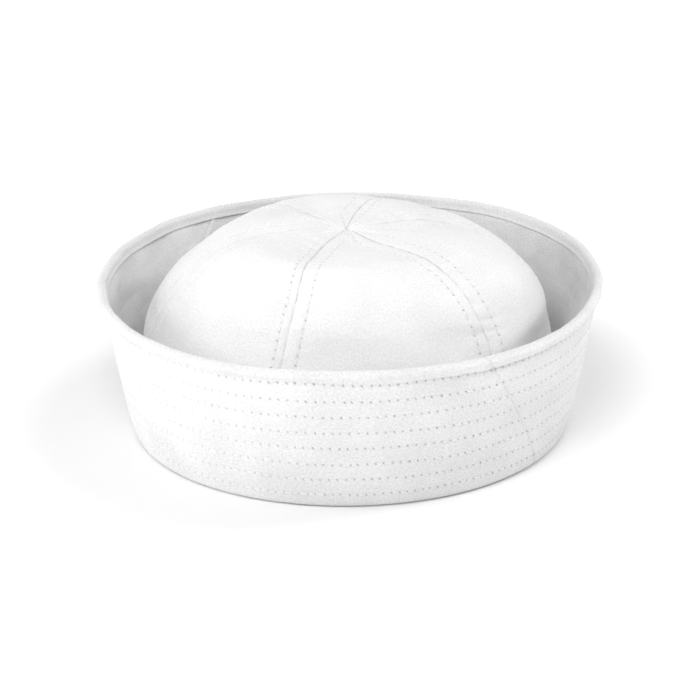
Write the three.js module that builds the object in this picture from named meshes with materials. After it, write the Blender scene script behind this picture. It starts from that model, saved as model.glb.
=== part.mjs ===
// A white cotton sailor cap with its stitched brim turned up all round into a cuff.
// Six sewn gores make the crown. The cuff has two plies, each of two half rings that
// meet in slanted seams. The outer ply rolls over the rim, runs under the foot and ends
// in a narrow hem inside the head opening. The facing is the ply that looks at the crown.
//
// Units are millimetres and +Z is up. The cap rests on z = 0, with the middle of its head
// opening at the origin. A bearing is an angle in degrees round the cap, from the front
// (-Y) towards +X. A depth is measured into the cloth from its visible face.

import * as THREE from "three";

// Cloth
const CLOTH = 1.1; // one ply of cotton twill
const GAP = 0.3; // between neighbouring pieces
const SEAT_GAP = 0.4; // where the crown stands between hem and facing

// Head opening and foot
const HEAD_RADIUS = 92.1; // inside the hem, for a head of 58 cm
const HEM_HEIGHT = 12;
const FOOT_INNER_CURL = 2.2; // radius of the fold towards the head
const FOOT_OUTER_CURL = 4.1; // radius of the fold towards the cuff
const CROWN_FOOT_RADIUS = HEAD_RADIUS + 2 * CLOTH + SEAT_GAP; // of the crown's cut edge
const CROWN_FOOT_HEIGHT = 1.9;
const FOOT_RADIUS = 102.5; // outer face of the cuff just above the foot

// Cuff
const CUFF_HEIGHT = 70;
const RIM_RADIUS = 115.2; // outer face of the cuff at the rim, before its puff
const LEAN_AT_FOOT = 16.3; // degrees from upright
const LEAN_AT_RIM = 9.2;
const WRAP_LENGTH = 3.2; // of the outer ply that turns down inside the rim
const BAND_WIDTH = 7; // between the rim and the first row of stitches
const RIM_PUFF = 1.2; // how far that band stands out from the wall below it
const CUFF_SEAMS = [31, 216]; // bearings of the two slanted seams at the rim
const SEAM_SLANT = 24.5; // degrees that a seam turns from rim to foot
// Waves round the cuff: how many there are, the bearing times that number where they
// peak, and how far the edge rises or spreads outwards there.
const RIM_WAVES = [
  { waves: 1, peak: 105, rise: 0.9, flare: 0 },
  { waves: 2, peak: -90, rise: 0, flare: 0.9 },
  { waves: 3, peak: 0, rise: 0.9, flare: 0 },
];
const FOOT_WAVE_START = 95; // radii between which the foot's waves grow
const FOOT_WAVE_END = 101;
const FOOT_WAVES = [
  { waves: 1, peak: 39, flare: 1.5 },
  { waves: 2, peak: -73, flare: 2.3 },
  { waves: 3, peak: 165, flare: 1 },
];

// Crown
// Each ring is a circle of cloth: its height in the middle, how much higher its front is,
// and how far its centre lies towards +X.
const CROWN_RINGS = [
  { radius: 0, height: 93.6, tilt: 0, shift: -1.8 },
  { radius: 19.5, height: 94.2, tilt: -0.6, shift: -3.8 },
  { radius: 38.5, height: 93.9, tilt: -0.5, shift: -2.7 },
  { radius: 52, height: 91.7, tilt: 1.3, shift: -1.6 },
  { radius: 61.8, height: 86.8, tilt: 2.4, shift: -0.1 },
  { radius: 70.1, height: 81.2, tilt: 2.1, shift: 1.1 },
  { radius: 77.8, height: 74.4, tilt: 0.6, shift: 1.5 },
  { radius: 83.7, height: 67.8, tilt: -1.2, shift: 1.4 },
  { radius: 88.3, height: 60.9, tilt: -2.2, shift: 0.9 },
  { radius: 91.3, height: 52.4, tilt: -1, shift: -0.3 },
  { radius: 94.6, height: 36, tilt: 0, shift: 0 },
  { radius: 94.8, height: 16, tilt: 0, shift: 0 },
  { radius: CROWN_FOOT_RADIUS, height: CROWN_FOOT_HEIGHT, tilt: 0, shift: 0 },
];
const CROWN_SEAMS = [-137, -78, -21, 44, 104, 162]; // bearings
const PANEL_PUFF = 1.2; // of a gore between its seams
// Hollows in the crown: where their middle is, how far they spread and how deep they are.
const CROWN_DENTS = [
  { bearing: 12, radius: 20, height: 94, spread: 12, depth: 1.5 },
  { bearing: -150, radius: 30, height: 94, spread: 14, depth: 1.5 },
  { bearing: 135, radius: 54, height: 90.5, spread: 10, depth: 1.2 },
  { bearing: -111, radius: 75, height: 77, spread: 9, depth: 0.9 },
  { bearing: -78, radius: 50, height: 92, spread: 10, depth: 1.1 },
  { bearing: 104, radius: 50, height: 92, spread: 11, depth: 0.9 },
];

// Facets
const CUFF_COLUMNS = 30; // round each half ring
const PANEL_COLUMNS = 8;
const PANEL_ROWS = 15;
const OUTER_STEPS = {
  hem: 1, innerCurl: 3, foot: 1, outerCurl: 4, wall: 4, band: 2, roll: 5, wrap: 1,
};
const FACING_STEPS = { lip: 1, outerCurl: 3, wall: 4, band: 2 };

const radians = THREE.MathUtils.degToRad;

// The point at a bearing, a distance from the axis and a height.
function onBearing(bearing, radius, height) {
  const angle = radians(bearing);
  return new THREE.Vector3(radius * Math.sin(angle), -radius * Math.cos(angle), height);
}

// A closed plate between two grids of points, both listed as rows of equal length.
// A row whose points coincide closes to a tip, because the shared points are merged.
function plateGeometry(face, back) {
  const rows = face.length;
  const columns = face[0].length;
  const positions = [];
  const triangle = (a, b, c) => {
    const area = b.clone().sub(a).cross(c.clone().sub(a)).length();
    if (area > 1e-9) positions.push(...a, ...b, ...c);
  };
  const quad = (a, b, c, d) => {
    triangle(a, b, c);
    triangle(a, c, d);
  };
  for (let i = 0; i + 1 < rows; i++) {
    for (let j = 0; j + 1 < columns; j++) {
      quad(face[i][j], face[i + 1][j], face[i + 1][j + 1], face[i][j + 1]);
      quad(back[i][j], back[i][j + 1], back[i + 1][j + 1], back[i + 1][j]);
    }
    const last = columns - 1;
    quad(face[i][0], back[i][0], back[i + 1][0], face[i + 1][0]);
    quad(face[i][last], face[i + 1][last], back[i + 1][last], back[i][last]);
  }
  for (let j = 0; j + 1 < columns; j++) {
    const last = rows - 1;
    quad(face[0][j], face[0][j + 1], back[0][j + 1], back[0][j]);
    quad(face[last][j], back[last][j], back[last][j + 1], face[last][j + 1]);
  }
  const geometry = new THREE.BufferGeometry();
  geometry.setAttribute("position", new THREE.Float32BufferAttribute(positions, 3));
  geometry.computeVertexNormals();
  return geometry;
}

// Cuff

// The cuff's visible outline in a section through the axis, as named curves from the top
// of the hem, under the foot and up the wall to the end of the wrap inside the rim.
function cuffOutline() {
  const hemFoot = new THREE.Vector2(HEAD_RADIUS, FOOT_INNER_CURL);
  const footCentre = new THREE.Vector2(FOOT_RADIUS - FOOT_OUTER_CURL, FOOT_OUTER_CURL);
  const rollRadius = 1.5 * CLOTH + GAP;
  const [footLean, rimLean] = [radians(LEAN_AT_FOOT), radians(LEAN_AT_RIM)];
  const along = (lean) => new THREE.Vector2(Math.sin(lean), Math.cos(lean));
  const outward = (lean) => new THREE.Vector2(Math.cos(lean), -Math.sin(lean));

  const rollCentre = new THREE.Vector2(RIM_RADIUS - rollRadius, CUFF_HEIGHT - rollRadius);
  const wallFoot = footCentre.clone().addScaledVector(outward(footLean), FOOT_OUTER_CURL);
  const wallTop = rollCentre.clone().addScaledVector(outward(rimLean), rollRadius);
  const wrapTop = rollCentre.clone().addScaledVector(outward(rimLean), -rollRadius);
  const wrapEnd = wrapTop.clone().addScaledVector(along(rimLean), -WRAP_LENGTH);
  const bandFoot = wallTop.clone().addScaledVector(along(rimLean), rollRadius - BAND_WIDTH);
  // The wall's control point lies where the tangents at its two ends cross.
  const span = bandFoot.clone().sub(wallFoot);
  const reach = span.cross(along(rimLean)) / along(footLean).cross(along(rimLean));
  const wallBend = wallFoot.clone().addScaledVector(along(footLean), reach);

  const arc = (centre, radius, from, to) =>
    new THREE.EllipseCurve(centre.x, centre.y, radius, radius, from, to, false);
  const line = (a, b) => new THREE.LineCurve(a, b);
  const innerCentre = new THREE.Vector2(HEAD_RADIUS + FOOT_INNER_CURL, FOOT_INNER_CURL);
  return {
    hem: line(new THREE.Vector2(HEAD_RADIUS, HEM_HEIGHT), hemFoot),
    innerCurl: arc(innerCentre, FOOT_INNER_CURL, Math.PI, 1.5 * Math.PI),
    foot: line(new THREE.Vector2(innerCentre.x, 0), new THREE.Vector2(footCentre.x, 0)),
    outerCurl: arc(footCentre, FOOT_OUTER_CURL, -0.5 * Math.PI, -footLean),
    wall: new THREE.QuadraticBezierCurve(wallFoot, wallBend, bandFoot),
    band: line(bandFoot, wallTop),
    roll: arc(rollCentre, rollRadius, -rimLean, Math.PI - rimLean),
    wrap: line(wrapTop, wrapEnd),
  };
}

// Samples some of the outline's curves in order: each sample is a point on the visible
// face and the direction into the cloth.
function sampleOutline(outline, steps) {
  const samples = [];
  for (const [name, count] of Object.entries(steps)) {
    const curve = outline[name];
    for (let i = samples.length ? 1 : 0; i <= count; i++) {
      const tangent = curve.getTangent(i / count);
      const inward = new THREE.Vector2(-tangent.y, tangent.x);
      samples.push({ point: curve.getPoint(i / count), inward });
    }
  }
  return samples;
}

function sumWaves(waves, bearing, name) {
  const swings = waves.map((wave) => wave[name] * Math.cos(radians(wave.waves * bearing - wave.peak)));
  return swings.reduce((sum, swing) => sum + swing, 0);
}

// The cuff's point at a bearing, with the waves of rim and foot added. The foot's underside
// stays flat, and the seat of the crown stays round.
function cuffPoint(bearing, radius, height) {
  const rimShare = THREE.MathUtils.clamp(height / CUFF_HEIGHT, 0, 1) ** 1.5;
  const footShare = (1 - rimShare) * THREE.MathUtils.smoothstep(radius, FOOT_WAVE_START, FOOT_WAVE_END);
  const puff = RIM_PUFF * THREE.MathUtils.smoothstep(height, CUFF_HEIGHT - BAND_WIDTH, CUFF_HEIGHT - 2);
  const rimFlare = rimShare * sumWaves(RIM_WAVES, bearing, "flare") + puff;
  const footFlare = footShare * sumWaves(FOOT_WAVES, bearing, "flare");
  const rise = rimShare * sumWaves(RIM_WAVES, bearing, "rise");
  return onBearing(bearing, radius + rimFlare + footFlare, height + rise);
}

// One half ring of a cuff ply, between seams that start from two bearings at the rim.
function cuffPlyGeometry(samples, faceDepth, backDepth, [fromBearing, toBearing]) {
  const grid = (depth) =>
    samples.map(({ point, inward }) => {
      const radius = point.x + inward.x * depth;
      const height = point.y + inward.y * depth;
      const slant = SEAM_SLANT * (1 - height / CUFF_HEIGHT);
      const clear = THREE.MathUtils.radToDeg(GAP / 2 / radius);
      const row = [];
      for (let j = 0; j <= CUFF_COLUMNS; j++) {
        const across = j / CUFF_COLUMNS;
        const turned = THREE.MathUtils.lerp(fromBearing + clear, toBearing - clear, across);
        row.push(cuffPoint(turned + slant, radius, height));
      }
      return row;
    });
  return plateGeometry(grid(backDepth), grid(faceDepth));
}

// The facing is the outline's wall and outer curl one ply further in. It stops under the
// roll at the rim, and its lip reaches in to the crown's foot.
function facingSamples(outline) {
  const lipEnd = new THREE.Vector2(CROWN_FOOT_RADIUS + SEAT_GAP, 0);
  const lip = new THREE.LineCurve(lipEnd, outline.outerCurl.getPoint(0));
  return sampleOutline({ ...outline, lip }, FACING_STEPS);
}

// Crown

// The crown's outer face in a section at one bearing, from the join down to the foot.
function crownSection(bearing) {
  const points = CROWN_RINGS.map(({ radius, height, tilt, shift }) => {
    const point = onBearing(bearing, radius, height + tilt * Math.cos(radians(bearing)));
    return point.setX(point.x + shift);
  });
  return new THREE.CatmullRomCurve3(points);
}

// How far the cloth stands out at a point of the crown, in millimetres. It dies away
// towards the seat in the foot, so that the crown stays clear there.
function crownRelief(point, acrossPanel, alongCrown) {
  let relief = PANEL_PUFF * Math.sin(Math.PI * acrossPanel) * Math.sin(Math.PI * alongCrown) ** 2;
  for (const { bearing, radius, height, spread, depth } of CROWN_DENTS) {
    const distance = point.distanceTo(onBearing(bearing, radius, height)) / spread;
    relief -= depth * Math.exp(-distance * distance);
  }
  return relief * THREE.MathUtils.smoothstep(point.z, HEM_HEIGHT, 3 * HEM_HEIGHT);
}

// One gore between two seams, from its tip at the join down to the foot. Its edges stand
// half a gap off the seams, so the tip lies where those two lines cross.
function panelGeometry(fromBearing, toBearing) {
  const tipRadius = GAP / 2 / Math.tan(radians((toBearing - fromBearing) / 2));
  const face = [];
  const back = [];
  for (let i = 0; i <= PANEL_ROWS; i++) {
    face.push([]);
    back.push([]);
    for (let j = 0; j <= PANEL_COLUMNS; j++) {
      const across = i === 0 ? 0 : j / PANEL_COLUMNS;
      const bearing = THREE.MathUtils.lerp(fromBearing, toBearing, across);
      const section = crownSection(bearing);
      const along = THREE.MathUtils.lerp(tipRadius / section.getLength(), 1, i / PANEL_ROWS);
      const round = onBearing(bearing + 90, 1, 0);
      const outward = section.getTangentAt(along).cross(round).normalize();
      const point = section.getPointAt(along).addScaledVector(round, GAP * (0.5 - across));
      const stand = crownRelief(point, across, along);
      face[i].push(point.clone().addScaledVector(outward, stand));
      back[i].push(point.clone().addScaledVector(outward, stand - CLOTH));
    }
  }
  return plateGeometry(face, back);
}

// Materials

const crownCloth = new THREE.MeshStandardMaterial({ color: 0xf4f4f3, roughness: 0.9, metalness: 0 });
const cuffCloth = new THREE.MeshStandardMaterial({ color: 0xf1f1f0, roughness: 0.92, metalness: 0 });
const facingCloth = new THREE.MeshStandardMaterial({ color: 0xececeb, roughness: 0.93, metalness: 0 });

// Assembly

const cap = new THREE.Group();

function addPiece(name, geometry, material) {
  const piece = new THREE.Mesh(geometry, material);
  piece.name = name;
  cap.add(piece);
}

CROWN_SEAMS.forEach((bearing, i) => {
  const next = CROWN_SEAMS[i + 1] ?? CROWN_SEAMS[0] + 360;
  addPiece(`crown_panel_${i + 1}`, panelGeometry(bearing, next), crownCloth);
});

const outline = cuffOutline();
const outerSamples = sampleOutline(outline, OUTER_STEPS);
const innerSamples = facingSamples(outline);
const facingDepth = CLOTH + GAP;
const halves = [
  { name: "back", seams: CUFF_SEAMS },
  { name: "front", seams: [CUFF_SEAMS[1], CUFF_SEAMS[0] + 360] },
];
for (const { name, seams } of halves) {
  addPiece(`cuff_outer_${name}`, cuffPlyGeometry(outerSamples, 0, CLOTH, seams), cuffCloth);
  const facing = cuffPlyGeometry(innerSamples, facingDepth, facingDepth + CLOTH, seams);
  addPiece(`cuff_facing_${name}`, facing, facingCloth);
}

export default cap;
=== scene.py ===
"""The looks of a white cotton sailor cap: sewn crown, stitched cuff, cloth, camera and light.

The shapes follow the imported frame. They are worked out in millimetres, with +Z up and the
middle of the head opening at the origin, and turned to metres where a mesh is made. A bearing
is an angle in degrees round the cap, from the front (-Y) towards +X.
"""

import math

import bpy
import numpy as np
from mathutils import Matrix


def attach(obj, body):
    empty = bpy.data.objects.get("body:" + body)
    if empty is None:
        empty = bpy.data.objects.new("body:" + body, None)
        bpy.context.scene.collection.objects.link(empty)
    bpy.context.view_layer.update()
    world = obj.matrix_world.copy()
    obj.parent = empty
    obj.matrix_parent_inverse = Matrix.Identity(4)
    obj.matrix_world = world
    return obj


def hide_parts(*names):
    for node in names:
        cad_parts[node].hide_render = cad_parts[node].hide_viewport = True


MM = 0.001

# Cloth: how thick a ply is, and the gaps between two plies and between cuff and crown.
CLOTH = 1.1
GAP = 0.3
SEAT_GAP = 0.4

# Head opening and foot
HEAD_RADIUS = 92.1
HEM_HEIGHT = 12
FOOT_INNER_CURL = 2.2
FOOT_OUTER_CURL = 4.1
CROWN_FOOT_RADIUS = HEAD_RADIUS + 2 * CLOTH + SEAT_GAP
CROWN_FOOT_HEIGHT = 1.9
FOOT_RADIUS = 102.5

# Cuff
CUFF_HEIGHT = 70
RIM_RADIUS = 115.2
LEAN_AT_FOOT = 16.3
LEAN_AT_RIM = 9.2
WRAP_LENGTH = 3.3
BAND_WIDTH = 7
RIM_PUFF = 1.2
CUFF_SEAMS = (31, 216)  # bearings at the rim
SEAM_SLANT = 24.5  # how much further round the seams are at the foot
# Waves round the cuff: their number, the bearing times that number where they peak, and
# how far the edge rises or spreads outwards there.
RIM_RISES = ((1, 105, 0.9), (3, 0, 0.9))
RIM_FLARES = ((2, -90, 0.9),)
FOOT_FLARES = ((1, 39, 1.5), (2, -73, 2.3), (3, 165, 1))
FOOT_WAVE_START = 95
FOOT_WAVE_END = 101
# Soft bumps in the wall and along the rim's height, as height, size and seed.
CUFF_BUMPS = ((0.45, 55, 11), (0.14, 20, 12))
RIM_BUMPS = ((0.25, 38, 13),)

# Crown: rings of cloth as radius, height in the middle, how much higher the front is, and
# how far the centre lies towards +X.
CROWN_RINGS = (
    (0, 93.6, 0, -1.8),
    (19.5, 94.2, -0.6, -3.8),
    (38.5, 93.9, -0.5, -2.7),
    (52, 91.7, 1.3, -1.6),
    (61.8, 86.8, 2.4, -0.1),
    (70.1, 81.2, 2.1, 1.1),
    (77.8, 74.4, 0.6, 1.5),
    (83.7, 67.8, -1.2, 1.4),
    (88.3, 60.9, -2.2, 0.9),
    (91.3, 52.4, -1, -0.3),
    (94.6, 36, 0, 0),
    (94.8, 16, 0, 0),
    (CROWN_FOOT_RADIUS, CROWN_FOOT_HEIGHT, 0, 0),
)
CROWN_SEAMS = (-137, -78, -21, 44, 104, 162)  # bearings
PANEL_PUFF = 1.2
CROWN_BUMPS = ((0.45, 42, 21), (0.2, 19, 22))  # as the cuff's
# Hollows in the crown as bearing, radius, height, spread and depth. Where the depth is below
# zero, the cloth swells instead.
CROWN_DENTS = (
    (12, 20, 94, 12, 1.5),
    (-150, 30, 94, 14, 1.5),
    (135, 54, 90.5, 10, 1.2),
    (-111, 75, 77, 9, 0.9),
    (-78, 50, 92, 10, 1.1),
    (104, 50, 92, 11, 0.9),
    (-88, 93, 45, 21, -2.2),
)
# A bulge on the crown's right side that tucks under: its height, how far it stands out, how
# deep it tucks, and the bearings between which it starts and ends.
BULGE_HEIGHT = 60.5
BULGE_STAND = 0.6
BULGE_TUCK = 4
BULGE_START = (45, 72)
BULGE_END = (70, 92)
# Where short folds cross the right front seam, and how deep and long they are.
SEAM_NIPS = ((60.7, -55.2, 70.6), (63.4, -57, 66))
NIP_DEPTH = 0.45
NIP_LENGTH = 6
# Folds and finer wrinkles round the join of the gores, as how many go round it and their phase.
JOIN_FOLDS = ((9, 0.4), (13, 2.1), (17, 4.0), (24, 1.2))
JOIN_WRINKLES = ((19, 3.3), (29, 0.9))
# Distances down a gore from the join: its first row of points, the end of its stitches, the end
# of its fine rows, as the cuff hides the rest, and its foot.
GORE_START = 0.15
GORE_SEWN = 120
GORE_FINE = 126
GORE_FOOT = 158
HIDDEN_STEP = 2

# Sewing
SEAM_GAP = 0.03
STITCH = 4.0
CELLS_PER_STITCH = 5  # grid cells along the cloth
CELL = STITCH / CELLS_PER_STITCH
FIRST_ROW = 6.9  # below the rim
ROW_PITCH = 7.95
CUFF_ROWS = 8
HEM_ROW_HEIGHT = 9
# Bearings round which the cuff's stitches are pulled in less, and by how much.
LOOSE_STITCHES = ((-85, 0.55), (95, 0.4))
TUCK_BEARING = 48  # where the top row is pulled in most
# Painted shade inside the rim is deepest at this bearing.
INSIDE_SHADE_BEARING = -150  # where the cloth inside the rim is greyest
THREAD_RADIUS = 0.21
# For each crown seam, how far the rows of stitches run on its left and on its right, and how
# sharply it is drawn in.
CROWN_SEWING = (
    (7, 7, 0.35),
    (7, 7, 0.12),
    (3.8, 6.4, 0.8),
    (5.9, 7.4, 0.85),
    (7, 7, 0.4),
    (4.5, 6.5, 0.75),
)
# How far the cloth stands or dips at the cuff's sewing.
QUILT_HEIGHT = 0.12
QUILT_UNEVEN = 0.04
ROW_GROOVE = 0.05
ROW_PUCKER = 0.06
STITCH_PULL = 0.04
NEEDLE_DEPTH = 0.32
HEM_GROOVE = 0.15
HEM_NEEDLE_DEPTH = 0.25
# Which grid rows a needle hole draws in and darkens with painted shade, counted from its own, and by
# what share.
NEEDLE_REACH = ((-1, 0.5), (0, 1), (1, 0.5))
# How far the sewing strays: stitches along their row in grid cells, and rows up and down.
STITCH_SLIP = 0.5
ROW_WANDER = 0.3
ROW_WOBBLE = 0.12
# The wall's quilting starts this far below its lowest row of stitches.
FOLD_MARGIN = 6.5
# The rim: how far below its top the cloth turns over, the height of its roll, the hollow under
# it, the ripples of the band below it, and how far the wrap's edge is pressed in.
RIM_TURN = 2
ROLL_HEIGHT = 0.4
ROLL_HOLLOW = 0.35
BAND_RIPPLE = 0.27
BAND_RIPPLE_LENGTH = 2.8
WRAP_PRESS = 0.25
SEAM_ALLOWANCE = 0.3  # how far the facing's folded edge stands out
# How far the cloth over a crown seam is drawn in, and over its rows of stitches.
SEAM_DEPTH = 0.38
SEAM_ROW_DEPTH = 0.16
# Small folds across a crown seam and across its rows of stitches, as height, length and reach.
SEAM_FOLDS = (0.14, 8.5, 13)
ROW_FOLDS = (0.07, 4.6, 4)
# How many rows and columns of the fine grid there are for each of the hidden one.
CUFF_THINNING = (6, 5)
CROWN_THINNING = (3, 3)


# Numbers


def smoothstep(x, low, high):
    t = np.clip((x - low) / (high - low), 0, 1)
    return t * t * (3 - 2 * t)


def bell(x, width):
    return np.exp(-((x / width) ** 2))


def near_bearing(bearings, middle, low, high):
    """1 near a bearing, falling to 0 as the cosine of the turn from it falls from high to low."""
    return smoothstep(np.cos(np.radians(bearings - middle)), low, high)


def ripples(x, length, seed):
    """Uneven waves along one direction, mostly between -1 and 1."""
    rng = np.random.default_rng(seed)
    total = np.zeros_like(x, dtype=float)
    for _ in range(7):
        phase = rng.uniform(0, 2 * np.pi)
        total += np.cos(2 * np.pi * x / (length * rng.uniform(0.65, 1.6)) + phase)
    return total / 3.2


def lumps(points, size, seed):
    """Soft uneven bumps through space, mostly between -1 and 1."""
    rng = np.random.default_rng(seed)
    directions = rng.normal(size=(14, 3))
    directions /= np.linalg.norm(directions, axis=1, keepdims=True)
    directions /= size * rng.uniform(0.7, 1.5, size=(14, 1))
    phases = rng.uniform(0, 2 * np.pi, 14)
    return np.cos(2 * np.pi * points @ directions.T + phases).sum(-1) / 4.5


def bumps(points, kinds):
    """A sum of lumps, each kind listed as its height, size and seed."""
    return sum(height * lumps(points, size, seed) for height, size, seed in kinds)


def unit(vectors):
    return vectors / np.linalg.norm(vectors, axis=-1, keepdims=True)


def on_bearing(bearing, radius, height):
    angle = np.radians(bearing)
    return np.stack(np.broadcast_arrays(radius * np.sin(angle), -radius * np.cos(angle), height), -1)


def between(anchors, step, ease=0.6):
    """Distances that meet every anchor, closer together beside one than half way to the next."""
    places = [anchors[0]]
    for start, end in zip(anchors, anchors[1:]):
        count = max(1, round((end - start) / step))
        t = np.linspace(0, 1, count + 1)[1:]
        places.extend(start + (end - start) * (t - ease * np.sin(2 * np.pi * t) / (2 * np.pi)))
    return np.array(places)


def joined(*runs):
    """Runs of distances as one, where each starts at the end of the one before."""
    return np.concatenate([runs[0], *(run[1:] for run in runs[1:])])


def reach_along(curves):
    """Distances along each of some curves, whose points are listed along axis 1."""
    steps = np.linalg.norm(np.diff(curves, axis=1), axis=-1)
    return np.pad(np.cumsum(steps, 1), ((0, 0), (1, 0)))


def read_curve(points, reach, at):
    """Points at some distances along a curve, whose own points lie at the distances in reach."""
    return np.stack([np.interp(at, reach, points[:, k]) for k in range(3)], -1)


def grid_normals(grid):
    """Unit normals of a grid of points. They look to the left of its rows' direction."""
    down = np.gradient(grid, axis=0)
    along = np.gradient(grid, axis=1)
    return unit(np.cross(down, along))


# Meshes


def grid_faces(rows, columns, start, turned):
    number = start + np.arange(rows * columns).reshape(rows, columns)
    corners = [number[:-1, :-1], number[1:, :-1], number[1:, 1:], number[:-1, 1:]]
    if turned:
        corners.reverse()
    return np.stack(corners, -1).reshape(-1, 4).tolist()


def zip_faces(a, b):
    """Triangles between two runs of vertex numbers that start and end side by side."""
    faces = []
    i = j = 0
    while i < len(a) - 1 or j < len(b) - 1:
        a_lags = (i + 1) * (len(b) - 1) <= (j + 1) * (len(a) - 1)
        if j == len(b) - 1 or (i < len(a) - 1 and a_lags):
            faces.append((a[i], a[i + 1], b[j]))
            i += 1
        else:
            faces.append((a[i], b[j + 1], b[j]))
            j += 1
    return faces


def make_object(name, vertices, faces, material):
    mesh = bpy.data.meshes.new(name)
    mesh.from_pydata((vertices * MM).tolist(), [], faces)
    mesh.shade_smooth()
    mesh.materials.append(material)
    piece = bpy.data.objects.new(name, mesh)
    bpy.context.scene.collection.objects.link(piece)
    return piece


def make_shell(name, face, back, cloth, back_cloth, painted_shade, material):
    """A closed piece of cloth between a fine grid that shows and a coarse one behind it.

    cloth and back_cloth hold a place on the flat cloth in millimetres for each point of the
    grids, and the last grid gives each point of the fine one its painted shade.
    """
    rows, columns = face.shape[:2]
    back_rows, back_columns = back.shape[:2]
    fine = np.arange(rows * columns).reshape(rows, columns)
    coarse = rows * columns + np.arange(back_rows * back_columns).reshape(back_rows, back_columns)
    faces = grid_faces(rows, columns, 0, False)
    faces += grid_faces(back_rows, back_columns, rows * columns, True)
    faces += zip_faces(fine[:, -1], coarse[:, -1])
    faces += zip_faces(fine[0, :], coarse[0, :])
    faces += zip_faces(coarse[:, 0], fine[:, 0])
    faces += zip_faces(coarse[-1, :], fine[-1, :])
    vertices = np.concatenate([face.reshape(-1, 3), back.reshape(-1, 3)])
    piece = make_object(name, vertices, [tuple(map(int, f)) for f in faces], material)
    mesh = piece.data
    mesh.set_sharp_from_angle(angle=math.radians(60))

    place = np.concatenate([cloth.reshape(-1, 2), back_cloth.reshape(-1, 2)])
    corner = np.zeros(len(mesh.loops), np.int32)
    mesh.loops.foreach_get("vertex_index", corner)
    layer = mesh.uv_layers.new(name="cloth")
    layer.data.foreach_set("uv", (place[corner] * MM).astype(np.float32).ravel())
    # Painted shade: how much the colour darkens at each point, in needle holes, seams and inside the
    # rim.
    depth = mesh.attributes.new("painted_shade", "FLOAT", "POINT")
    values = np.concatenate([painted_shade.ravel(), np.zeros(coarse.size)]).astype(np.float32)
    depth.data.foreach_set("value", values)
    return piece


# How far each ring of a stitch lies along it, its height over the cloth and its thickness.
STITCH_RINGS = (
    (0.06, -0.4, 0.6),
    (0.17, 0, 0.9),
    (0.34, 0.09, 1),
    (0.66, 0.09, 1),
    (0.83, 0, 0.9),
    (0.94, -0.4, 0.6),
)
THREAD_SIDES = 6


def stitch_places(surface, normals, holes):
    """Ring centres and upward directions for the stitches between holes along one row."""
    steps = np.arange(len(surface))
    rings = []
    ups = []
    for share, height, _ in STITCH_RINGS:
        at = holes[:-1] + share * np.diff(holes)
        centre = read_curve(surface, steps, at)
        up = unit(read_curve(normals, steps, at))
        rings.append(centre + up * height)
        ups.append(up)
    return np.stack(rings, 1), np.stack(ups, 1)


def make_stitches(name, rows, material):
    """One object of all the stitches in some rows, each listed as (surface, normals, holes)."""
    places = [stitch_places(*row) for row in rows]
    centres = np.concatenate([centre for centre, _ in places])
    ups = np.concatenate([up for _, up in places])
    along = unit(np.gradient(centres, axis=1))
    sideways = unit(np.cross(along, ups))
    upwards = np.cross(sideways, along)
    radius = THREAD_RADIUS * np.array([ring[2] for ring in STITCH_RINGS])[None, :, None, None]
    turn = np.linspace(0, 2 * np.pi, THREAD_SIDES, endpoint=False)
    spokes = sideways[:, :, None] * np.cos(turn)[:, None] + upwards[:, :, None] * np.sin(turn)[:, None]
    vertices = centres[:, :, None] + radius * spokes

    count, ring_count = centres.shape[:2]
    number = np.arange(count * ring_count * THREAD_SIDES).reshape(count, ring_count, THREAD_SIDES)
    beside = np.roll(number, -1, axis=2)
    sides = [number[:, :-1], beside[:, :-1], beside[:, 1:], number[:, 1:]]
    faces = np.stack(sides, -1).reshape(-1, 4).tolist()
    faces += number[:, 0, ::-1].tolist()
    faces += number[:, -1].tolist()
    return make_object(name, vertices.reshape(-1, 3), faces, material)


# Cuff


def arc(centre, radius, start, end):
    angle = np.linspace(start, end, 60)[:, None]
    return centre + radius * np.concatenate([np.cos(angle), np.sin(angle)], 1)


def line(start, end):
    return start + (end - start) * np.linspace(0, 1, 60)[:, None]


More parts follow.
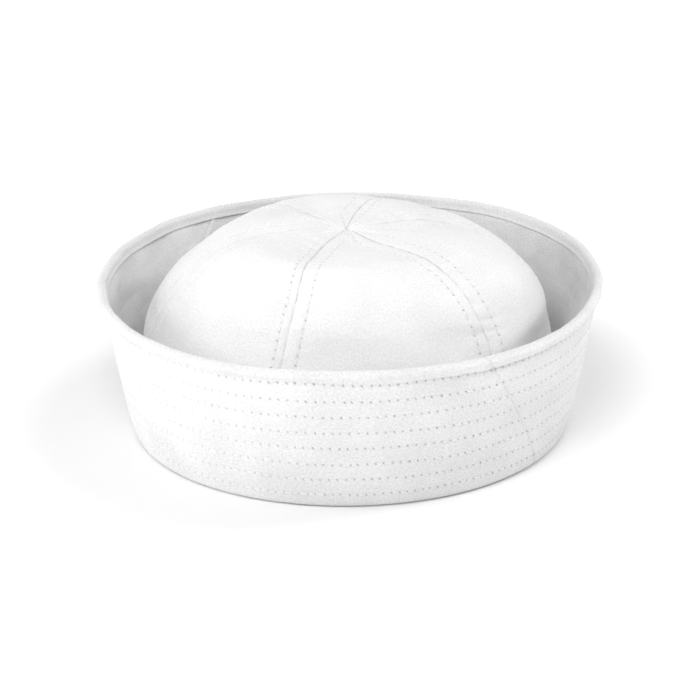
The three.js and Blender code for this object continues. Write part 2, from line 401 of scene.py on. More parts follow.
def cuff_curves():
    """The cuff's visible outline in a section through the axis, from hem to wrap."""
    foot_centre = np.array([FOOT_RADIUS - FOOT_OUTER_CURL, FOOT_OUTER_CURL])
    roll_radius = 1.5 * CLOTH + GAP
    foot_lean = math.radians(LEAN_AT_FOOT)
    rim_lean = math.radians(LEAN_AT_RIM)
    up_foot = np.array([math.sin(foot_lean), math.cos(foot_lean)])
    up_rim = np.array([math.sin(rim_lean), math.cos(rim_lean)])
    out_foot = np.array([up_foot[1], -up_foot[0]])
    out_rim = np.array([up_rim[1], -up_rim[0]])

    roll_centre = np.array([RIM_RADIUS - roll_radius, CUFF_HEIGHT - roll_radius])
    wall_foot = foot_centre + out_foot * FOOT_OUTER_CURL
    wall_top = roll_centre + out_rim * roll_radius
    wrap_top = roll_centre - out_rim * roll_radius
    band_foot = wall_top + up_rim * (roll_radius - BAND_WIDTH)
    span = band_foot - wall_foot
    cross = up_foot[0] * up_rim[1] - up_foot[1] * up_rim[0]
    wall_bend = wall_foot + up_foot * (span[0] * up_rim[1] - span[1] * up_rim[0]) / cross
    t = np.linspace(0, 1, 200)[:, None]
    inner_centre = np.array([HEAD_RADIUS + FOOT_INNER_CURL, FOOT_INNER_CURL])
    lip_end = np.array([CROWN_FOOT_RADIUS + SEAT_GAP, 0])
    return {
        "hem": line(np.array([HEAD_RADIUS, HEM_HEIGHT]), np.array([HEAD_RADIUS, FOOT_INNER_CURL])),
        "inner_curl": arc(inner_centre, FOOT_INNER_CURL, math.pi, 1.5 * math.pi),
        "foot": line(np.array([inner_centre[0], 0]), np.array([foot_centre[0], 0])),
        "lip": line(lip_end, np.array([foot_centre[0], 0])),
        "outer_curl": arc(foot_centre, FOOT_OUTER_CURL, -0.5 * math.pi, -foot_lean),
        "wall": (1 - t) ** 2 * wall_foot + 2 * t * (1 - t) * wall_bend + t**2 * band_foot,
        "band": line(band_foot, wall_top),
        "roll": arc(roll_centre, roll_radius, -rim_lean, math.pi - rim_lean),
        "wrap": line(wrap_top, wrap_top - up_rim * WRAP_LENGTH),
    }


OUTER_PATH = ("hem", "inner_curl", "foot", "outer_curl", "wall", "band", "roll", "wrap")
FACING_PATH = ("lip", "outer_curl", "wall", "band")
SAME_PLACE = 1e-6


class Section:
    """Curves joined to one outline, read by distance along it."""

    def __init__(self, curves, names):
        points = np.concatenate([curves[name] for name in names])
        steps = np.linalg.norm(np.diff(points, axis=0), axis=1)
        apart = steps > SAME_PLACE
        self.points = points[np.concatenate([[True], apart])]
        self.lengths = np.concatenate([[0], np.cumsum(steps[apart])])
        tangents = unit(np.gradient(self.points, self.lengths, axis=0))
        self.inward = np.stack([-tangents[:, 1], tangents[:, 0]], -1)

    def at(self, lengths, depth):
        """Radius and height at distances along the outline and a depth into the cloth."""
        points = self.points + self.inward * depth
        return [np.interp(lengths, self.lengths, points[:, k]) for k in range(2)]

    def wall_length(self, height):
        """The distance at which the outer wall reaches a height."""
        start = np.argmax(self.points[:, 0] > FOOT_RADIUS - 0.5)
        top = np.argmax(self.points[:, 1])
        return np.interp(height, self.points[start:top, 1], self.lengths[start:top])


def wave_sum(waves, bearing):
    return sum(size * np.cos(np.radians(count * bearing - peak)) for count, peak, size in waves)


def cuff_place(bearing, radius, height):
    """The cuff's point at a bearing, with the waves of rim and foot and soft unevenness."""
    rim_share = np.clip(height / CUFF_HEIGHT, 0, 1) ** 1.5
    foot_share = (1 - rim_share) * smoothstep(radius, FOOT_WAVE_START, FOOT_WAVE_END)
    puff = RIM_PUFF * smoothstep(height, CUFF_HEIGHT - BAND_WIDTH, CUFF_HEIGHT - 2)
    flare = rim_share * wave_sum(RIM_FLARES, bearing) + puff
    flare = flare + foot_share * wave_sum(FOOT_FLARES, bearing)
    middle = on_bearing(bearing, np.full_like(radius, RIM_RADIUS), height)
    free = smoothstep(height, 6, 22)
    flare = flare + free * bumps(middle, CUFF_BUMPS)
    rise = rim_share * (wave_sum(RIM_RISES, bearing) + bumps(middle, RIM_BUMPS))
    return on_bearing(bearing, radius + flare, height + rise)


def cuff_grid(section, lengths, across, depth, seams):
    """The cuff's points at distances along its section and shares of the way round a half ring."""
    radius, height = section.at(lengths, depth)
    slant = SEAM_SLANT * (1 - height / CUFF_HEIGHT)
    clear = np.degrees(SEAM_GAP / 2 / radius)
    bearing = seams[0] + clear + (seams[1] - seams[0] - 2 * clear) * across + slant
    return cuff_place(bearing, radius, height)


def cuff_rows(section):
    """Distances along a section of the wall's rows of stitches, the lowest first."""
    return section.wall_length(CUFF_HEIGHT - FIRST_ROW - ROW_PITCH * np.arange(CUFF_ROWS)[::-1])


def flat_places(lengths, columns):
    """Each grid point's place on the flat cloth: how far round the ring and along the section."""
    return np.stack(np.meshgrid(np.arange(columns + 1) * CELL, lengths), -1)


def hand_sewn(cloth, rows, seed):
    """Moves a grid's points a little along the cloth, so that rows and stitches aren't ruled."""
    along, lengths = cloth[..., 0], cloth[..., 1]
    columns = cloth.shape[1] - 1
    flat = np.dstack([cloth, np.zeros_like(along)])
    above_first = smoothstep(lengths, rows[0] - 4, rows[0])
    inner = above_first * (1 - smoothstep(lengths, rows[-1], rows[-1] + 5))
    ends = smoothstep(np.minimum(along, along[:, -1:] - along), 0, 6)
    across = np.arange(columns + 1) + ends * inner * STITCH_SLIP * lumps(flat, 9, seed)
    wander = ROW_WANDER * lumps(flat * (1, 3, 1), 34, seed + 1)
    wobble = ROW_WOBBLE * lumps(flat * (1, 2, 1), 11, seed + 2)
    return lengths + inner * (wander + wobble), across / columns


def row_distance(lengths, rows):
    """Signed distance of each length from the nearest row of stitches."""
    gaps = lengths[:, None] - rows[None, :]
    nearest = np.abs(gaps).argmin(1)
    return gaps[np.arange(len(lengths)), nearest]


def stitched_relief(cloth, rows, drawn, seed):
    """Height of the quilted cloth over its ply, the painted shade in its needle holes, and the holes of
    each row.

    drawn says for each column how tightly the stitches are pulled in.
    """
    rng = np.random.default_rng(seed)
    along = cloth[..., 0]
    lengths = cloth[:, 0, 1]
    flat = np.dstack([cloth, np.zeros_like(along)])
    away = row_distance(lengths, rows)[:, None]

    inside = ((lengths > rows[0]) & (lengths < rows[-1]))[:, None]
    arch = np.sin(np.pi * np.clip(np.abs(away) / ROW_PITCH, 0, 0.5))
    relief = QUILT_HEIGHT * np.where(inside, arch, 0.6) * (1 + 0.5 * lumps(flat, 14, seed + 1))
    relief = relief - ROW_GROOVE * bell(away, 0.8)
    warped = along + 1.5 * lumps(flat, 12, seed + 2)
    pucker = ripples(warped + 0.5 * np.abs(away), 6, seed + 3)
    relief = relief + ROW_PUCKER * pucker * np.exp(-np.abs(away) / 3)
    relief = relief + QUILT_UNEVEN * lumps(flat, 5, seed + 4)

    painted_shade = np.zeros_like(relief)
    holes = []
    for row in rows:
        i = np.abs(lengths - row).argmin()
        first = rng.integers(3) + 1
        places = np.arange(first, cloth.shape[1] - 1, CELLS_PER_STITCH)
        wave = np.cos(2 * np.pi * (along / CELL - first) / CELLS_PER_STITCH)
        relief = relief - STITCH_PULL * bell(lengths[:, None] - row, 1.5) * wave
        # Painted shade in each needle hole, lighter where the stitches are pulled in less.
        dark = drawn[places] * rng.uniform(0.55, 1, len(places))
        for shift, share in NEEDLE_REACH:
            relief[i + shift, places] -= NEEDLE_DEPTH * share * drawn[places]
            painted_shade[i + shift, places] = share * dark
        holes.append((i, places))
    return relief, painted_shade, holes


def rim_relief(cloth, bearings, top_row, rim, seed):
    """The cloth over the top row: a rippled band and a roll, which is fullest over the tuck."""
    along = cloth[..., 0]
    lengths = cloth[..., 1]
    over = smoothstep(lengths, top_row + 0.3, top_row + 3)
    band = over * (1 - smoothstep(lengths, rim - 1, rim + 2))
    relief = 0.07 * over * ripples(along, 11, seed)
    relief = relief + BAND_RIPPLE * band * ripples(along, BAND_RIPPLE_LENGTH, seed + 1)
    roll = ROLL_HEIGHT * bell(lengths - rim + 0.6, 2.2) - ROLL_HOLLOW * bell(lengths - top_row - 1, 1.4)
    relief = relief + roll * (1 + 0.8 * near_bearing(bearings, TUCK_BEARING, 0.8, 1))
    edge = np.minimum(along, along[:, -1:] - along)
    return relief - 0.5 * bell(edge, 1.6) * bell(lengths - top_row - 1.6, 1.4)


def seam_relief(columns):
    """How the cloth dips into the slanted seams at both ends of a half ring, and the painted shade in
    them.
    """
    edge = CELL * np.minimum(np.arange(columns + 1), columns - np.arange(columns + 1))
    return 0.08 * bell(edge - 3.2, 2) - 0.2 * bell(edge, 0.7), 0.1 * bell(edge, 0.4)


def half_columns(seams):
    """Columns of a half ring, a whole number of stitches long at the rim."""
    length = math.radians(seams[1] - seams[0]) * (RIM_RADIUS - 1)
    return CELLS_PER_STITCH * round(length / STITCH)


def thin(grid, row_step, column_step):
    """Every few rows and columns of a grid, with its last ones."""
    rows = np.unique(np.append(np.arange(0, grid.shape[0], row_step), grid.shape[0] - 1))
    columns = np.unique(np.append(np.arange(0, grid.shape[1], column_step), grid.shape[1] - 1))
    return grid[rows][:, columns]


def round_edge(face, normals, back, steps=4):
    """Rows that lead in a half circle from the last row of the face to the back."""
    outward = unit(face[-1] - face[-2])
    radius = np.linalg.norm(face[-1] - back[-1], axis=-1, keepdims=True) / 2
    rows = []
    for turn in np.linspace(0, np.pi, steps + 1)[1:-1]:
        sunk = face[-1] - normals[-1] * radius * (1 - np.cos(turn))
        rows.append(sunk + outward * radius * np.sin(turn))
    return np.stack(rows)


def with_edges(face, normals, back):
    """The face with rounded edges added before its first row and after its last one."""
    end = round_edge(face, normals, back)
    start = round_edge(face[::-1], normals[::-1], back[::-1])[::-1]
    return np.concatenate([start, face, end]), len(start), len(end)


def pad_rows(values, before, after):
    width = ((before, after), (0, 0)) + ((0, 0),) * (values.ndim - 2)
    return np.pad(values, width, mode="edge")


def make_outer_ply(name, seams, seed, material, thread):
    """A half ring of the outer ply: hem, foot, stitched wall, rim and wrap."""
    section = Section(cuff_curves(), OUTER_PATH)
    columns = half_columns(seams)
    rows = cuff_rows(section)
    hem_row = HEM_HEIGHT - HEM_ROW_HEIGHT
    hem_foot = HEM_HEIGHT - FOOT_INNER_CURL
    fold = rows[0] - FOLD_MARGIN
    rim = rows[-1] + FIRST_ROW - RIM_TURN
    end = section.lengths[-1] - CLOTH / 2
    lengths = joined(
        between([CLOTH / 2, hem_row, hem_foot], 0.8),
        between([hem_foot, fold], 0.9, 0),
        between([fold, *rows], 0.8),
        between([rows[-1], rim, end], 0.6, 0.45),
    )

    cloth = flat_places(lengths, columns)
    flat_lengths, across = hand_sewn(cloth, rows, seed + 10)
    base = cuff_grid(section, flat_lengths, across, 0, seams)
    back = cuff_grid(section, flat_lengths, across, CLOTH, seams)
    normals = -grid_normals(base)
    bearings = np.linspace(*seams, columns + 1)
    loose = sum(share * near_bearing(bearings, middle, 0.3, 0.85) for middle, share in LOOSE_STITCHES)
    relief, painted_shade, holes = stitched_relief(cloth, rows, 1 - loose, seed)
    dip, shade = seam_relief(columns)
    on_wall = smoothstep(lengths, fold, rows[0] - 1)[:, None]
    relief = relief * on_wall + dip + rim_relief(cloth, bearings, rows[-1], rim, seed + 7)
    relief = relief - WRAP_PRESS * smoothstep(lengths, end - 2.6, end - 0.3)[:, None]
    # Painted shade on the cloth inside the rim, deepest at one bearing, with the painted shade of seams
    # and needle holes.
    inside_shade = 0.04 + 0.13 * near_bearing(bearings, INSIDE_SHADE_BEARING, 0, 0.9)
    painted_shade = np.maximum(painted_shade * on_wall, shade)
    painted_shade = np.maximum(painted_shade, inside_shade * smoothstep(lengths, rim + 2.6, rim + 5)[:, None])

    hem_index = np.abs(lengths - hem_row).argmin()
    hem_holes = np.arange(3, columns, CELLS_PER_STITCH)
    relief[hem_index] -= HEM_GROOVE
    relief[hem_index, hem_holes] -= HEM_NEEDLE_DEPTH
    # Painted shade in the hem's needle holes.
    painted_shade[hem_index, hem_holes] = 1

    face = base + normals * np.clip(relief, -0.9, 0.8)[..., None]
    face[..., 2] = np.maximum(face[..., 2], 0)
    edged, before, after = with_edges(face, normals, back)
    piece = make_shell(
        name + "_cloth",
        edged,
        thin(back, *CUFF_THINNING),
        pad_rows(cloth, before, after),
        thin(cloth, *CUFF_THINNING),
        pad_rows(painted_shade, before, after),
        material,
    )
    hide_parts(name)
    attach(piece, "root")

    sewn = [(face[i], normals[i], at) for i, at in holes + [(hem_index, hem_holes)]]
    stitches = make_stitches(name + "_stitches", sewn, thread)
    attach(stitches, "root")


def make_facing(name, seams, seed, material):
    """A half ring of the inner ply, whose plain face looks at the crown."""
    section = Section(cuff_curves(), FACING_PATH)
    columns = half_columns(seams)
    rows = cuff_rows(section)
    lengths = joined(
        between([CLOTH / 2, rows[0]], 1.1, 0),
        between(rows, 0.95),
        between([rows[-1], section.lengths[-1] - CLOTH / 2], 0.9, 0),
    )

    cloth = flat_places(lengths, columns)
    along = cloth[..., 0]
    across = np.linspace(0, 1, columns + 1)[None, :]
    hidden = cuff_grid(section, cloth[..., 1], across, CLOTH + GAP, seams)
    base = cuff_grid(section, cloth[..., 1], across, 2 * CLOTH + GAP, seams)
    normals = grid_normals(base)
    dip, shade = seam_relief(columns)
    free = smoothstep(lengths, rows[0] - 6, rows[0] - 1)[:, None]
    away = row_distance(lengths, rows)[:, None]
    uneven = bumps(base, ((0.22, 19, seed), (0.09, 7, seed + 1)))
    relief = dip - 2 * ROW_GROOVE * bell(away, 1) + uneven
    from_end = along[:, -1:] - along
    allowance = smoothstep(from_end, 0.4, 0.9) * (1 - smoothstep(from_end, 2.2, 3))
    relief = (relief + SEAM_ALLOWANCE * allowance) * free
    face = base + normals * relief[..., None]
    # Painted shade along the seams.
    painted_shade = free * shade

    piece = make_shell(
        name + "_cloth",
        face[:, ::-1],
        thin(hidden, *CUFF_THINNING)[:, ::-1],
        cloth[:, ::-1],
        thin(cloth, *CUFF_THINNING)[:, ::-1],
        painted_shade[:, ::-1],
        material,
    )
    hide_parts(name)
    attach(piece, "root")


# Crown


def crown_sections(bearings):
    """Control points of the crown's outer face, for each bearing one section from the join down."""
    radius, height, tilt, shift = np.array(CROWN_RINGS, dtype=float).T
    bearings = bearings[:, None]
    points = on_bearing(bearings, radius, height + tilt * np.cos(np.radians(bearings)))
    points[..., 0] += shift
    return points


def centripetal(points, samples=24):
    """A centripetal Catmull-Rom curve through control points listed along axis 1."""
    first = 2 * points[:, :1] - points[:, 1:2]
    last = 2 * points[:, -1:] - points[:, -2:-1]
    points = np.concatenate([first, points, last], 1)
    p0, p1, p2, p3 = points[:, :-3], points[:, 1:-2], points[:, 2:-1], points[:, 3:]

    def knot(a, b):
        return np.sqrt(np.linalg.norm(b - a, axis=-1, keepdims=True))

    d0, d1, d2 = knot(p0, p1), knot(p1, p2), knot(p2, p3)
    start = ((p1 - p0) / d0 - (p2 - p0) / (d0 + d1) + (p2 - p1) / d1) * d1
    end = ((p2 - p1) / d1 - (p3 - p1) / (d1 + d2) + (p3 - p2) / d2) * d1
    t = np.linspace(0, 1, samples, endpoint=False)[:, None]
    pieces = (
        p1[:, :, None]
        + start[:, :, None] * t
        + (3 * (p2 - p1) - 2 * start - end)[:, :, None] * t**2
        + (2 * (p1 - p2) + start + end)[:, :, None] * t**3
    )
    curve = pieces.reshape(len(points), -1, 3)
    return np.concatenate([curve, points[:, -2:-1]], 1)


def by_length(curves, lengths):
    """Points on each curve, at the shares of its length that the distances are of the last one."""
    places = []
    for curve, reach in zip(curves, reach_along(curves)):
        places.append(read_curve(curve, reach, lengths / lengths[-1] * reach[-1]))
    return np.stack(places, 1)


def gore_surface(start, end, lengths):
    """The smooth outer face between two seams, in rows across it, and how far each row reaches."""
    bearings = np.linspace(start, end, 2 * round(end - start) + 1)
    table = by_length(centripetal(crown_sections(bearings)), lengths)
    turn = on_bearing(bearings + 90, 1, 0)
    table = table + SEAM_GAP * turn * np.linspace(0.5, -0.5, len(bearings))[:, None]
    return table, reach_along(table)


def gore_squeeze(widths, left, right):
    """How much the places of a gore's rows of stitches draw together where it gets narrow."""
    return np.minimum(1, widths / (1.5 * (left + right)))[:, None]


def spread_columns(widths, left, right):
    """Distances across the gore for every row, from one seam to the other."""
    squeeze = gore_squeeze(widths, left, right)
    near = between([0, left], 0.75)[None, :] * squeeze
    far = widths[:, None] - between([0, right], 0.75)[None, ::-1] * squeeze
    count = round((widths.max() - left - right) / 1.7)
    share = np.linspace(0, 1, count + 1)[None, 1:-1]
    middle = near[:, -1:] + (far[:, :1] - near[:, -1:]) * share
    return np.concatenate([near, middle, far], 1), near.shape[1] - 1, near.shape[1] + count - 1


def crown_relief(points, across, along):
    """How far the crown's cloth stands out: the gore's puff, the hollows, and soft wrinkles."""
    relief = PANEL_PUFF * np.sin(np.pi * across) * np.sin(np.pi * along)[:, None] ** 2
    for bearing, radius, height, spread, depth in CROWN_DENTS:
        away = np.linalg.norm(points - on_bearing(bearing, radius, height), axis=-1)
        relief = relief - depth * bell(away, spread)
    bearing = np.degrees(np.arctan2(points[..., 0], -points[..., 1]))
    side = smoothstep(bearing, *BULGE_START) * (1 - smoothstep(bearing, *BULGE_END))
    below = BULGE_HEIGHT - points[..., 2]
    tuck = smoothstep(below, -1, 12) * (1 - smoothstep(below, 14, 44))
    relief = relief + side * (BULGE_STAND * bell(below + 4, 5) - BULGE_TUCK * tuck)
    high = smoothstep(points[..., 2], 50, 75)
    relief = relief + high * bumps(points, CROWN_BUMPS)
    return relief * smoothstep(points[..., 2], HEM_HEIGHT, 3 * HEM_HEIGHT)


def join_relief(points):
    """Puckers that run out from the join of the gores, and the dimple in its middle."""
    centre = np.array([CROWN_RINGS[0][3], 0])
    flat = points[..., :2] - centre
    radius = np.linalg.norm(flat, axis=-1)
    bearing = np.arctan2(flat[..., 0], -flat[..., 1])
    folds = sum(np.cos(count * bearing + phase) for count, phase in JOIN_FOLDS)
    wrinkles = sum(np.cos(count * bearing + phase) for count, phase in JOIN_WRINKLES)
    relief = 0.14 * folds * bell(radius, 21) * smoothstep(radius, 1, 7)
    return relief + 0.1 * wrinkles * bell(radius - 6, 5) - 0.6 * bell(radius, 3.2)


def seam_side_relief(distance, squeeze, row, along, tight, seed):
    """Relief and painted shade beside one seam: its ditch, the ridge out to its row, and puckers."""
    squeezed = distance / squeeze
    drawn_in = tight * (1 - 0.45 * smoothstep(along, 45, 80))
    ridge = smoothstep(squeezed, 0.4, 1.6) * (1 - smoothstep(squeezed, row - 0.6, row + 0.9))
    relief = (0.06 + 0.08 * tight) * ridge - SEAM_ROW_DEPTH * bell(squeezed - row, 0.7)
    relief = relief - SEAM_DEPTH * drawn_in * bell(squeezed, 0.5)
    height, length, reach = SEAM_FOLDS
    folds = height * ripples(along + 0.25 * distance, length, seed) * bell(distance, reach)
    height, length, reach = ROW_FOLDS
    puckers = height * ripples(along, length, seed + 2) * bell(distance - row, reach)
    relief = relief + smoothstep(along, 6, 26) * (folds + puckers)
    # Painted shade in the seam's ditch and along its row of stitches.
    painted_shade = np.maximum(0.4 * drawn_in * bell(squeezed, 0.35), 0.1 * tight * bell(squeezed - row, 0.4))
    return relief, painted_shade


def nip_relief(points):
    """The short folds that cross a seam and slope a little down to the right."""
    relief = 0
    for nip in SEAM_NIPS:
        away = points - np.array(nip)
        slope = away[..., 2] + 0.15 * away[..., 0]
        relief = relief - NIP_DEPTH * bell(slope, 0.8) * bell(np.linalg.norm(away, axis=-1), NIP_LENGTH)
    return relief


def make_gore(index, material, thread):
    """One gore of the crown, with its seams, rows of stitches and puckers."""
    name = f"crown_panel_{index + 1}"
    start = CROWN_SEAMS[index]
    after = (index + 1) % len(CROWN_SEAMS)
    end = CROWN_SEAMS[after] + (360 if after == 0 else 0)
    left = CROWN_SEWING[index][1]
    right = CROWN_SEWING[after][0]
    tight = (CROWN_SEWING[index][2], CROWN_SEWING[after][2])
    seed = 100 + 10 * index

    fine = np.arange(GORE_START, GORE_FINE, CELL)
    hidden = np.arange(GORE_FINE + HIDDEN_STEP, GORE_FOOT + HIDDEN_STEP / 2, HIDDEN_STEP)
    lengths = np.concatenate([fine, hidden])
    table, reach = gore_surface(start, end, lengths)
    widths = reach[:, -1]
    places, left_column, right_column = spread_columns(widths, left, right)
    base = np.stack([read_curve(*row) for row in zip(table, reach, places)])
    relief = crown_relief(base, places / widths[:, None], lengths / lengths[-1])
    smooth_normals = grid_normals(base)
    shaped = base + smooth_normals * relief[..., None]
    back = shaped - smooth_normals * CLOTH
    normals = grid_normals(shaped)

    squeeze = gore_squeeze(widths, left, right)
    along = lengths[:, None] + 0 * places
    from_right = widths[:, None] - places
    at_left, left_painted_shade = seam_side_relief(places, squeeze, left, along, tight[0], seed)
    at_right, right_painted_shade = seam_side_relief(from_right, squeeze, right, along, tight[1], seed + 1)
    stand = at_left + at_right + join_relief(shaped) + nip_relief(shaped)
    stand = stand + 0.05 * lumps(shaped, 6, seed + 5)
    # Painted shade along both seams.
    painted_shade = np.maximum(left_painted_shade, right_painted_shade)

    rng = np.random.default_rng(seed)
    sewn = []
    last = np.argmax(lengths > GORE_SEWN)
    for column, drawn in ((left_column, tight[0]), (right_column, tight[1])):
        holes = np.arange(rng.integers(8, 13), last, CELLS_PER_STITCH)
        stand[holes, column] -= 0.1 + 0.14 * drawn
        # Painted shade in each needle hole.
        painted_shade[holes, column] = (0.25 + 0.75 * drawn) * rng.uniform(0.35, 0.9, len(holes))
        for beside in (column - 1, column + 1):
            stand[holes, beside] -= 0.08
        sewn.append((column, holes))
    face = shaped + normals * np.clip(stand, -0.95, 1)[..., None]
    cloth = np.stack([places - widths[:, None] / 2, along], -1)
    piece = make_shell(
        name + "_cloth",
        face,
        thin(back, *CROWN_THINNING),
        cloth,
        thin(cloth, *CROWN_THINNING),
        painted_shade,
        material,
    )
    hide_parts(name)
    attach(piece, "root")

    rows = [(face[:, column], normals[:, column], holes) for column, holes in sewn]
    stitches = make_stitches(name + "_stitches", rows, thread)
    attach(stitches, "root")


# Materials

RIB_PITCH = 0.7677  # across the twill's ribs, in millimetres
RIB_SHARE = 0.25  # the ribs' height beside the yarn's
BUMP_HEIGHT = 0.00018  # in metres
# A wave texture of scale 1 repeats after this many metres across its diagonal bands.
DIAGONAL_WAVE = 2 * math.pi / (10 * math.sqrt(2))
# How many cells of noise a metre holds.
YARN_CELLS = 1000
WEAR_CELLS = 45
STRAND_CELLS = 2500
# Between which values of the noise the cloth goes from its darkest to its lightest.
DARKEST_AT = 0.4
LIGHTEST_AT = 0.6
# The colour of the painted shade in needle holes, seams and inside the rim.
PAINTED_SHADE_COLOUR = (0.2, 0.19, 0.185, 1)


def new_material(name):
    """A material, its node tree and its shader."""
    material = bpy.data.materials.new(name)
    material.use_nodes = True
    tree = material.node_tree
    return material, tree, tree.nodes["Principled BSDF"]


def noise(tree, place, cells, detail):
    node = tree.nodes.new("ShaderNodeTexNoise")
    node.inputs["Scale"].default_value = cells
    node.inputs["Detail"].default_value = detail
    tree.links.new(place, node.inputs["Vector"])
    return node.outputs["Fac"]


def share_of(tree, value, share, rest=None):
    """A share of one value, added to the rest where there is one."""
    node = tree.nodes.new("ShaderNodeMath")
    node.operation = "MULTIPLY_ADD" if rest else "MULTIPLY"
    node.inputs[1].default_value = share
    tree.links.new(value, node.inputs[0])
    if rest:
        tree.links.new(rest, node.inputs[2])
    return node.outputs["Value"]


def ramp(tree, value, dark, light):
    """A colour between dark and light, each given with the value at which it is reached."""
    node = tree.nodes.new("ShaderNodeValToRGB")
    for element, (colour, position) in zip(node.color_ramp.elements, (dark, light)):
        element.position = position
        element.color = (*colour, 1)
    tree.links.new(value, node.inputs["Fac"])
    return node.outputs["Color"]


def twill_bump(tree, shader, place, yarn):
    """Fine diagonal ribs and uneven yarn."""
    ribs = tree.nodes.new("ShaderNodeTexWave")
    ribs.bands_direction = "DIAGONAL"
    ribs.inputs["Scale"].default_value = DIAGONAL_WAVE / (RIB_PITCH * MM)
    ribs.inputs["Distortion"].default_value = 1.2
    ribs.inputs["Detail Scale"].default_value = 1.5
    tree.links.new(place, ribs.inputs["Vector"])
    bump = tree.nodes.new("ShaderNodeBump")
    bump.inputs["Strength"].default_value = 0.5
    bump.inputs["Distance"].default_value = BUMP_HEIGHT
    tree.links.new(share_of(tree, ribs.outputs["Fac"], RIB_SHARE, yarn), bump.inputs["Height"])
    tree.links.new(bump.outputs["Normal"], shader.inputs["Normal"])


def cotton(name, light, dark, patches):
    """White twill with a soft sheen, uneven in its yarn and in wide patches, with painted shade in its
    holes.

    light and dark are its brightness, and patches is the share of it that varies widely.
    """
    material, tree, shader = new_material(name)
    shader.inputs["Roughness"].default_value = 0.88
    shader.inputs["Specular IOR Level"].default_value = 0.25
    shader.inputs["Sheen Weight"].default_value = 0.25
    shader.inputs["Sheen Roughness"].default_value = 0.55

    flat = tree.nodes.new("ShaderNodeUVMap")
    flat.uv_map = "cloth"
    yarn = noise(tree, flat.outputs["UV"], YARN_CELLS, 3)
    twill_bump(tree, shader, flat.outputs["UV"], yarn)

    where = tree.nodes.new("ShaderNodeTexCoord")
    wear = noise(tree, where.outputs["Object"], WEAR_CELLS, 5)
    uneven = share_of(tree, wear, patches, share_of(tree, yarn, 1 - patches))
    tint = ramp(tree, uneven, ((dark,) * 3, DARKEST_AT), ((light,) * 3, LIGHTEST_AT))
    # Painted shade: the attribute darkens the colour in needle holes, seams and inside the rim.
    painted_shade = tree.nodes.new("ShaderNodeAttribute")
    painted_shade.attribute_name = "painted_shade"
    darker = tree.nodes.new("ShaderNodeMix")
    darker.data_type = "RGBA"
    darker.inputs["B"].default_value = PAINTED_SHADE_COLOUR
    tree.links.new(painted_shade.outputs["Fac"], darker.inputs["Factor"])
    tree.links.new(tint, darker.inputs["A"])
    tree.links.new(darker.outputs["Result"], shader.inputs["Base Color"])
    return material


def thread_material():
    """Cotton thread: a little smoother and brighter than the cloth, with twisted strands."""
    material, tree, shader = new_material("sewing_thread")
    shader.inputs["Roughness"].default_value = 0.6
    shader.inputs["Sheen Weight"].default_value = 0.3
    where = tree.nodes.new("ShaderNodeTexCoord")
    strands = noise(tree, where.outputs["Object"], STRAND_CELLS, 2)
    tint = ramp(tree, strands, ((0.86, 0.86, 0.85), 0), ((0.97, 0.97, 0.96), 1))
    tree.links.new(tint, shader.inputs["Base Color"])
    return material


# Camera, light and floor, in metres, degrees and watts

CAMERA_ELEVATION = 22.8
CAMERA_DISTANCE = 1.4
CAMERA_AIM = (-0.0001, 0, 0.0325)
LENS = 153.85
SENSOR = 36
# Soft round lights as name, bearing, elevation, width and power.
LIGHTS = (
    ("main_light", -20, 50, 0.9, 13.4),
    ("left_light", -88, 12, 0.7, 8),
    ("back_light", 112, 60, 0.7, 5.6),
    ("right_light", 100, 33, 0.25, 5.2),
)
LIGHT_DISTANCE = 1.6
LIGHT_AIM_HEIGHT = 0.05
SURROUND_STRENGTH = 0.3
FLOOR_REACH = 6
# How the floor's glow rises away from the cap: from where, to where, its least and its most.
FLOOR_GLOWS = (
    (0.115, 0.25, 0.04, 0.42),
    (0.9, 1.6, 0, 0.9),
)


def make_camera():
    """The photograph's view, level with the front and looking down on the cap."""
    elevation = math.radians(CAMERA_ELEVATION)
    lens = bpy.data.cameras.new("camera")
    lens.lens = LENS
    lens.sensor_width = SENSOR
    camera = bpy.data.objects.new("camera", lens)
    camera.location = (
        CAMERA_AIM[0],
        CAMERA_AIM[1] - CAMERA_DISTANCE * math.cos(elevation),
        CAMERA_AIM[2] + CAMERA_DISTANCE * math.sin(elevation),
    )
    camera.rotation_euler = (math.pi / 2 - elevation, 0, 0)
    bpy.context.scene.collection.objects.link(camera)
    bpy.context.scene.camera = camera


def make_light(name, bearing, elevation, width, power):
    lamp = bpy.data.lights.new(name, "AREA")
    lamp.shape = "DISK"
    lamp.size = width
    lamp.energy = power
    light = bpy.data.objects.new(name, lamp)
    lift = math.radians(elevation)
    height = LIGHT_AIM_HEIGHT + LIGHT_DISTANCE * math.sin(lift)
    light.location = on_bearing(bearing, LIGHT_DISTANCE * math.cos(lift), height)
    light.rotation_euler = (math.pi / 2 - lift, 0, math.radians(bearing))
    bpy.context.scene.collection.objects.link(light)


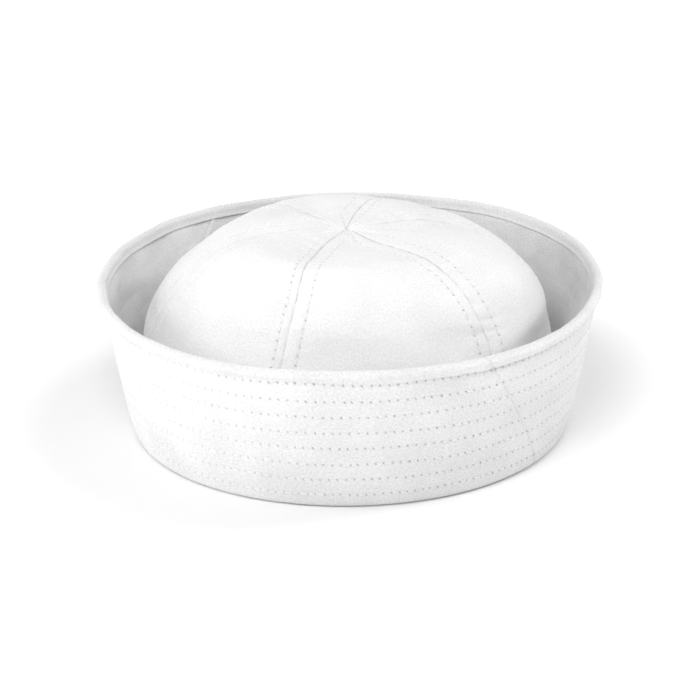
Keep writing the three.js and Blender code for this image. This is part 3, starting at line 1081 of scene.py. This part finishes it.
def floor_paint():
    """Pale paint that glows softly away from the cap, so that the floor ends in white."""
    paint, tree, shader = new_material("floor_paint")
    shader.inputs["Base Color"].default_value = (0.9, 0.9, 0.9, 1)
    shader.inputs["Roughness"].default_value = 0.9
    shader.inputs["Emission Color"].default_value = (1, 1, 1, 1)
    where = tree.nodes.new("ShaderNodeTexCoord")
    reach = tree.nodes.new("ShaderNodeVectorMath")
    reach.operation = "LENGTH"
    tree.links.new(where.outputs["Object"], reach.inputs[0])
    total = tree.nodes.new("ShaderNodeMath")
    for number, (near, far, least, most) in enumerate(FLOOR_GLOWS):
        glow = tree.nodes.new("ShaderNodeMapRange")
        glow.inputs["From Min"].default_value = near
        glow.inputs["From Max"].default_value = far
        glow.inputs["To Min"].default_value = least
        glow.inputs["To Max"].default_value = most
        tree.links.new(reach.outputs["Value"], glow.inputs["Value"])
        tree.links.new(glow.outputs["Result"], total.inputs[number])
    tree.links.new(total.outputs["Value"], shader.inputs["Emission Strength"])
    return paint


def make_stage():
    """A pale floor, a bright surround and soft lights."""
    mesh = bpy.data.meshes.new("floor")
    signs = ((-1, -1), (1, -1), (1, 1), (-1, 1))
    corners = [(FLOOR_REACH * x, FLOOR_REACH * y, 0) for x, y in signs]
    mesh.from_pydata(corners, [], [(0, 1, 2, 3)])
    mesh.materials.append(floor_paint())
    floor = bpy.data.objects.new("floor", mesh)
    bpy.context.scene.collection.objects.link(floor)

    world = bpy.data.worlds.new("surround")
    world.use_nodes = True
    backdrop = world.node_tree.nodes["Background"]
    backdrop.inputs["Color"].default_value = (1, 1, 1, 1)
    backdrop.inputs["Strength"].default_value = SURROUND_STRENGTH
    bpy.context.scene.world = world
    for light in LIGHTS:
        make_light(*light)
    bpy.context.scene.view_settings.view_transform = "Standard"


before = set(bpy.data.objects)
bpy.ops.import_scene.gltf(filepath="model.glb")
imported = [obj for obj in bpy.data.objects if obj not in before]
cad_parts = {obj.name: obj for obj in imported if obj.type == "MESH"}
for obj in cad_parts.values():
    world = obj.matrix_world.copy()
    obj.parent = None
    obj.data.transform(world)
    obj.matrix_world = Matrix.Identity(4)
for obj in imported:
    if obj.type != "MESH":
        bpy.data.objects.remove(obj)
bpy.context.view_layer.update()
make_camera()
make_stage()

# The crown and the cuff are one cotton; the cuff's twill is painted darker as painted shade on the
# cuff.
crown_cloth = cotton("crown_twill", light=0.94, dark=0.83, patches=0.3)
cuff_cloth = cotton("cuff_twill", light=0.9, dark=0.755, patches=0.3)
facing_cloth = cotton("facing_twill", light=0.82, dark=0.66, patches=0.55)
thread = thread_material()

for gore in range(len(CROWN_SEAMS)):
    make_gore(gore, crown_cloth, thread)
halves = (("back", CUFF_SEAMS), ("front", (CUFF_SEAMS[1], CUFF_SEAMS[0] + 360)))
for number, (half, seams) in enumerate(halves):
    make_outer_ply("cuff_outer_" + half, seams, 200 + 20 * number, cuff_cloth, thread)
    make_facing("cuff_facing_" + half, seams, 300 + 20 * number, facing_cloth)
